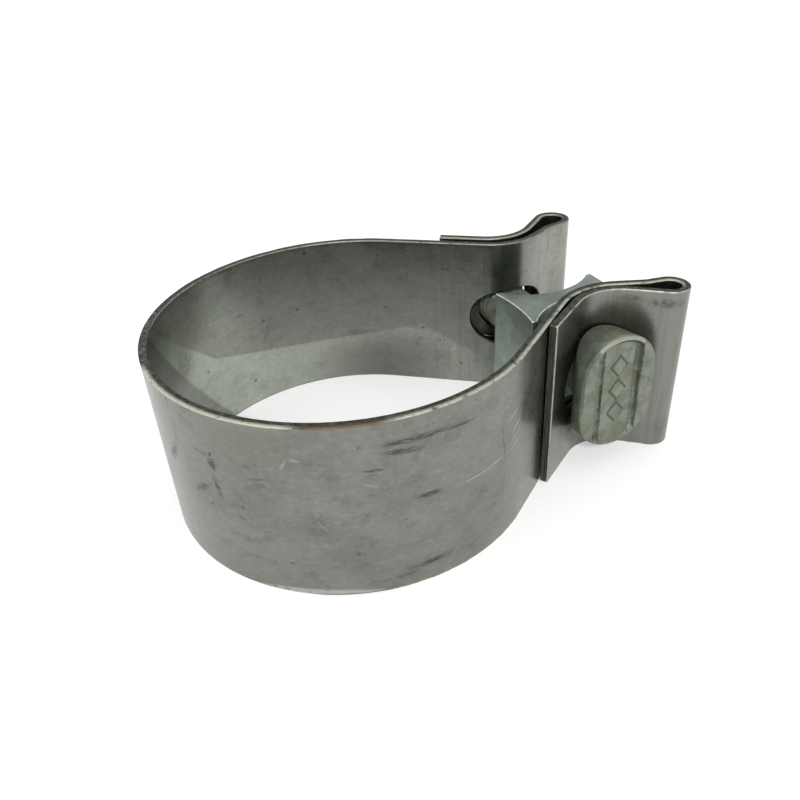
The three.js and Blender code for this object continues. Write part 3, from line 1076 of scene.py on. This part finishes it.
def block_outline():
    """The block in plan: pipe side first, then round the hollow sides and the outer tip."""
    centre_v = BLOCK_WAIST_HALF + BLOCK_HOLLOW_RADIUS

    def reach(half):
        return math.sqrt(BLOCK_HOLLOW_RADIUS ** 2 - (centre_v - half) ** 2)

    bow = math.asin(BLOCK_INNER_HALF / BLOCK_PIPE_RADIUS)
    pipe_side = [np.array([BLOCK_INNER_X - BLOCK_PIPE_RADIUS * (1 - math.cos(a)),
                           BLOCK_PIPE_RADIUS * math.sin(a)]) for a in np.linspace(-bow, bow, 19)]
    hollow = []
    first, last = BLOCK_HOLLOW_X - reach(BLOCK_INNER_HALF), BLOCK_HOLLOW_X + reach(BLOCK_OUTER_HALF)
    for x in np.linspace(first, last, 30):
        rise = math.sqrt(BLOCK_HOLLOW_RADIUS ** 2 - (x - BLOCK_HOLLOW_X) ** 2)
        hollow.append(np.array([x, centre_v - rise]))
    tip_x = BLOCK_HIGH[0] - RING_X
    tips = [np.array([tip_x, v]) for v in np.linspace(BLOCK_OUTER_HALF, -BLOCK_OUTER_HALF, 9)]
    back = [point * (1, -1) for point in reversed(hollow)]
    middle = np.array([RING_X, (BLOCK_LOW[1] + BLOCK_HIGH[1]) / 2])
    return [point + middle for point in [*pipe_side, *hollow, *tips, *back]]


def inset_outline(outline, distance):
    """The closed outline moved inwards by a short distance, with its corners mitred."""
    points = np.array(outline)
    along = np.roll(points, -1, axis=0) - points
    along /= np.linalg.norm(along, axis=1)[:, None]
    inward = np.column_stack([along[:, 1], -along[:, 0]])
    before = np.roll(inward, 1, axis=0)
    mitre = (inward + before) / (1 + np.sum(inward * before, axis=1))[:, None]
    return points + mitre * distance


def make_block():
    outline = block_outline()
    bottom, top = BLOCK_LOW[2], BLOCK_HIGH[2]
    levels = [(bottom + BLOCK_EDGE * (1 - math.sin(a)), BLOCK_EDGE * (1 - math.cos(a)))
              for a in np.linspace(math.pi / 2, 0, BLOCK_EDGE_LEVELS)]
    sides = np.linspace(bottom + BLOCK_SIDE_MARGIN, top - BLOCK_SIDE_MARGIN, BLOCK_SIDE_LEVELS)
    straight = [(z, 0.0) for z in sides]
    upper = [(bottom + top - z, inset) for z, inset in reversed(levels)]
    rings = []
    for z, inset in [*levels, *straight, *upper]:
        plan = soften(inset_outline(outline, inset), BLOCK_CORNER - inset)
        rings.append([(x, y, z) for x, y in plan])
    count = len(rings[0])
    points = [point for ring in rings for point in ring]
    faces = [(i * count + j, i * count + (j + 1) % count,
              (i + 1) * count + (j + 1) % count, (i + 1) * count + j)
             for i in range(len(rings) - 1) for j in range(count)]
    faces += [list(range(count)), [(len(rings) - 1) * count + j for j in range(count)]]
    block = mesh_object("reaction_block_cast", points, faces)
    bore_cut(block)
    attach(block, "block")
    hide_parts("reaction_block")
    return block


def bore_cut(block):
    """Cuts the bolt's bore through the block's waist."""
    bpy.ops.mesh.primitive_cylinder_add(
        vertices=96, radius=BORE_RADIUS * MM, depth=BORE_CUTTER_LENGTH * MM,
        rotation=(math.pi / 2, 0, 0),
        location=(AXIS_X * MM, (BLOCK_LOW[1] + BLOCK_HIGH[1]) / 2 * MM, MID_HEIGHT * MM))
    cutter = bpy.context.object
    cut = block.modifiers.new("bore", "BOOLEAN")
    cut.operation = "DIFFERENCE"
    cut.solver = "EXACT"
    cut.object = cutter
    bpy.context.view_layer.update()
    drilled = bpy.data.meshes.new_from_object(
        block.evaluated_get(bpy.context.evaluated_depsgraph_get()))
    block.modifiers.clear()
    block.data = drilled
    bpy.data.objects.remove(cutter)
    work = bmesh.new()
    work.from_mesh(drilled)
    crease(work, 35.0)
    work.to_mesh(drilled)
    work.free()


ZINC_LIGHT = (0.42, 0.44, 0.38, 1)
ZINC_DARK = (0.055, 0.060, 0.048, 1)


def cast_skin(tree, place, low, high, stain):
    """Zinc over a cast or forged skin: cloudy, gritty, stained in patches."""
    cloud = tree.noise(place, 0.35, 4.0, 0.6, 0.5)
    grit = tree.noise(place, 2.6, 4.0, 0.7)
    patch = tree.noise(tree.place(place, shift=(13, 7, 3)), 0.22, 3.0, 0.5)
    base = tree.blend(tree.step(cloud, 0.32, 0.68), low, high)
    base = tree.blend(tree.product(tree.step(patch, 0.52, 0.68), 0.45), base, stain)
    base = tree.blend(tree.product(tree.step(grit, 0.56, 0.76), 0.40), base, ZINC_LIGHT)
    base = tree.blend(tree.product(tree.step(grit, 0.42, 0.26), 0.45), base, ZINC_DARK)
    return base, cloud, grit


def finish_cast(tree, base, cloud, grit, metallic, roughness):
    tree.shader("Base Color", base)
    tree.shader("Metallic", metallic)
    tree.shader("Roughness", tree.math("ADD", tree.product(cloud, 0.15), roughness))
    tree.shader("Normal", tree.bump(tree.math("ADD", grit, tree.product(cloud, 2)), 0.06, 0.7))
    return tree.material


def head_lines(tree, place, cloud):
    """Dark lines on the bolt head's face, and a pale band on its lip. Under the lip's edge the dark line
    is a painted shadow. There are also dark lines along the grooves, round the diamonds and near the edge
    on the left. The pale band on the lip's upper part is a painted highlight.
    """
    parts = tree.add("ShaderNodeSeparateXYZ")
    tree.put(parts.inputs[0], place)
    x = tree.math("SUBTRACT", parts.outputs[0], AXIS_X)
    z = tree.math("SUBTRACT", parts.outputs[2], MID_HEIGHT)
    front = tree.step(parts.outputs[1], BOLT_LOW[1] + 1.0, BOLT_LOW[1] + 0.7)
    over = tree.math("SUBTRACT", tree.math("ABSOLUTE", z), HEAD_HALF_HEIGHT - HEAD_HALF_WIDTH)
    corner = tree.add("ShaderNodeCombineXYZ")
    tree.put(corner.inputs[0], x)
    tree.put(corner.inputs[1], tree.math("MAXIMUM", over, 0.0))
    reach = tree.add("ShaderNodeVectorMath", operation="LENGTH")
    tree.put(reach.inputs[0], corner.outputs[0])
    inset = tree.math("SUBTRACT", HEAD_HALF_WIDTH, reach.outputs["Value"])
    ragged = tree.noise(place, 1.1, 4.0, 0.7)
    shake = tree.math("MULTIPLY", tree.math("SUBTRACT", ragged, 0.5), 0.9)
    across = tree.math("ABSOLUTE", x)
    from_groove = tree.math("SUBTRACT", tree.math("ADD", across, shake), GROOVE_X)
    border = tree.window(tree.math("ABSOLUTE", from_groove), GROOVE_HALF - 0.1, GROOVE_HALF, 0.2)
    border = tree.product(border, tree.step(inset, 0.3, 0.8), 0.75)
    between = tree.step(across, GROOVE_X + 0.9, GROOVE_X + 0.5)
    upper = tree.product(tree.step(z, 2.0, 4.0), between)
    # Painted shadow under the edge of the lip, on the upper part of the face.
    lip_shadow = tree.window(tree.math("ADD", inset, tree.product(shake, 0.4)), LIP_WIDTH, LIP_WIDTH + 0.2, 0.2)
    flank = tree.product(tree.window(inset, 0.2, 0.4, 0.15), tree.step(x, -GROOVE_X + 0.6, -GROOVE_X))
    dark = tree.math("MAXIMUM", border, tree.product(lip_shadow, upper))
    dark = tree.math("MAXIMUM", dark, tree.product(flank, tree.step(z, -4.0, 0.0), 0.6))
    dark = tree.math("MAXIMUM", dark, tree.product(pip_outline(tree, across, z), 0.75))
    broken = tree.step(cloud, 0.22, 0.42)
    # Painted highlight on the upper part of the lip.
    lip = tree.product(tree.window(inset, 0.1, LIP_WIDTH - 0.35, 0.15), upper, front, 0.6)
    return tree.product(dark, front, broken), lip


def pip_outline(tree, across, z):
    """A thin line round each of the equally spaced plain diamonds."""
    pitch = PIP_HEIGHTS[0] - PIP_HEIGHTS[1]
    raised = tree.math("ADD", z, pitch * 4.5 - PIP_HEIGHTS[1])
    local = tree.math("SUBTRACT", tree.math("MODULO", raised, pitch), pitch / 2)
    away = tree.math("ADD", tree.math("DIVIDE", across, PIP_WIDEN), tree.math("ABSOLUTE", local))
    line = tree.window(away, PIP_REACH - 0.1, PIP_REACH + 0.1, 0.35)
    among = tree.window(z, PIP_HEIGHTS[-1] - pitch / 2, PIP_HEIGHTS[0] + pitch / 2, 0.05)
    return tree.product(line, among)


def bolt_material():
    tree = Tree("zinc_bolt")
    place = tree.object_mm()
    base, cloud, grit = cast_skin(
        tree, place, (0.130, 0.150, 0.110, 1), (0.225, 0.245, 0.195, 1), (0.165, 0.165, 0.085, 1))
    dark, lip = head_lines(tree, place, cloud)
    base = tree.blend(dark, base, ZINC_DARK)
    base = tree.blend(lip, base, ZINC_LIGHT)
    return finish_cast(tree, base, cloud, grit, 0.6, 0.45)


def fastener_material():
    tree = Tree("zinc_fastener")
    base, cloud, grit = cast_skin(tree, tree.object_mm(), (0.150, 0.165, 0.130, 1),
                                  (0.210, 0.225, 0.185, 1), (0.180, 0.180, 0.110, 1))
    return finish_cast(tree, base, cloud, grit, 0.75, 0.42)


def block_material():
    """Bright zinc on the cast block, with a painted highlight on its upward-facing edges, painted shade
    high in the front hollow, and smudged low down.
    """
    tree = Tree("zinc_block")
    place = tree.object_mm()
    base, cloud, grit = cast_skin(
        tree, place, (0.180, 0.226, 0.192, 1), (0.262, 0.306, 0.268, 1), (0.180, 0.212, 0.205, 1))
    front = SEAT_X + RING_X - 3.0, -BLOCK_INNER_HALF + 3.0
    # Painted shade: a dark bluish patch high in the front hollow.
    shade = tree.oval(place, (*front, MID_HEIGHT + 7.0), (4.0, 9.0, 8.0))
    base = tree.blend(tree.product(shade, 0.6), base, (0.115, 0.125, 0.150, 1))
    smudge = tree.oval(place, (*front, MID_HEIGHT - 3.0), (4.0, 9.0, 2.4))
    base = tree.blend(tree.product(smudge, tree.step(cloud, 0.35, 0.6), 0.6), base, ZINC_DARK)
    parts = tree.add("ShaderNodeSeparateXYZ")
    tree.put(parts.inputs[0], tree.add("ShaderNodeTexCoord").outputs["Normal"])
    # Painted highlight: bevels that face upward are lightened, broken by grit.
    edge = tree.window(parts.outputs[2], 0.35, 0.93, 0.05)
    base = tree.blend(tree.product(edge, tree.step(grit, 0.35, 0.5)), base, (0.75, 0.80, 0.74, 1))
    return finish_cast(tree, base, cloud, grit, 0.85, 0.24)


# ---------------------------------------------------------------- scene

bpy.context.scene.view_settings.view_transform = "Standard"
make_camera()
make_lights()
make_floor()

flex_strip(make_strip())

fastener_zinc = fastener_material()
for maker, zinc in ((make_bolt, bolt_material()), (make_saddle, fastener_zinc),
                    (make_nut, fastener_zinc), (make_block, block_material())):
    piece = maker()
    piece.data.materials.clear()
    piece.data.materials.append(zinc)
